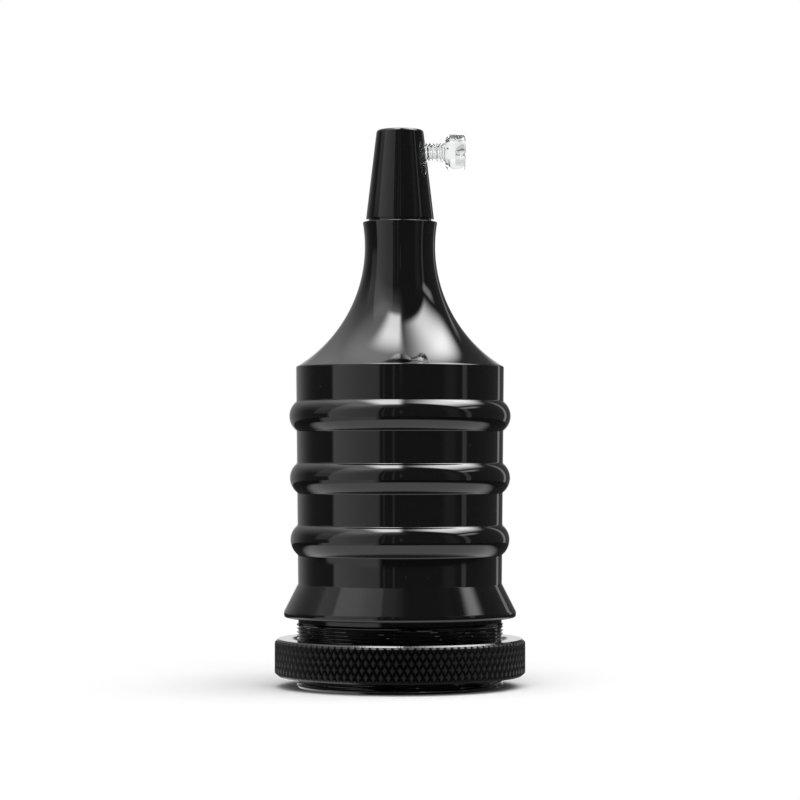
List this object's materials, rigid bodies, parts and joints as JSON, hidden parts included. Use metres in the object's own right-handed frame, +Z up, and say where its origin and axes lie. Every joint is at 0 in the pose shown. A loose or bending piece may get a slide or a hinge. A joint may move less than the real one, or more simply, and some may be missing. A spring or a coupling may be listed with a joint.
{
  "type": "lamp holder",
  "caption": "Pendant lamp holder: gloss black beaded shell with a concave neck, cord grip with clear clamp screw, knurled shade ring and ceramic screw socket.",
  "frame": {"origin": "centre of the skirt's open end, on the surface that the holder stands on", "axes": "+Z up along the holder's turning axis, towards the cord grip; +X towards the clamp screw's head"},
  "size_m": [0.0494, 0.0494, 0.11],
  "materials": {
    "gloss_black_aluminium": "turned aluminium with a smooth gloss black coat",
    "clear_plastic": "clear moulded plastic",
    "zinc_steel": "bright zinc-plated steel",
    "white_ceramic": "white glazed ceramic",
    "nickel_brass": "nickel-plated rolled brass",
    "bare_brass": "plain turned brass"
  },
  "bodies": {
    "housing": {"shell": "gloss_black_aluminium", "cord_grip": "gloss_black_aluminium", "threaded_tube": "zinc_steel", "lock_washer": "zinc_steel", "shell_nut": "zinc_steel", "bridge_nut": "zinc_steel", "bridge": "zinc_steel", "bridge_screws": "zinc_steel", "core_nuts": "zinc_steel", "earth_plate": "zinc_steel", "contact_spring": "zinc_steel", "ceramic_core": "white_ceramic", "screw_shell": "nickel_brass", "shell_rivets": "nickel_brass", "live_strap": "nickel_brass", "neutral_strap": "nickel_brass", "contact_bush": "bare_brass", "live_terminal": "bare_brass", "neutral_terminal": "bare_brass"},
    "shade_ring_body": {"shade_ring": "gloss_black_aluminium"},
    "clamp_screw_body": {"clamp_screw": "clear_plastic"},
    "contact_body": {"contact_plunger": "bare_brass"},
    "live_screw_body": {"live_screw": "bare_brass"},
    "neutral_screw_body": {"neutral_screw": "bare_brass"},
    "earth_screw_body": {"earth_screw": "zinc_steel"}
  },
  "joints": [
    {"name": "ring_slide", "type": "slide", "parent": "housing", "child": "shade_ring_body", "axis": [0, 0, 1], "range_m": [-0.009, 0.0041]},
    {"name": "clamp_screw_slide", "type": "slide", "parent": "housing", "child": "clamp_screw_body", "axis": [1, 0, 0], "range_m": [-0.003, 0.0017]},
    {"name": "contact_press", "type": "slide", "parent": "housing", "child": "contact_body", "axis": [0, 0, 1], "range_m": [0, 0.0019], "stiffness_N_per_m": 800, "springref_m": -0.002, "deforming": ["contact_spring"]},
    {"name": "live_screw_slide", "type": "slide", "parent": "housing", "child": "live_screw_body", "axis": [0, 0, 1], "range_m": [-0.0014, 0.0025]},
    {"name": "neutral_screw_slide", "type": "slide", "parent": "housing", "child": "neutral_screw_body", "axis": [0, 0, 1], "range_m": [-0.0014, 0.0025]},
    {"name": "earth_screw_slide", "type": "slide", "parent": "housing", "child": "earth_screw_body", "axis": [0, 0, 1], "range_m": [-0.0009, 0.0012]}
  ]
}
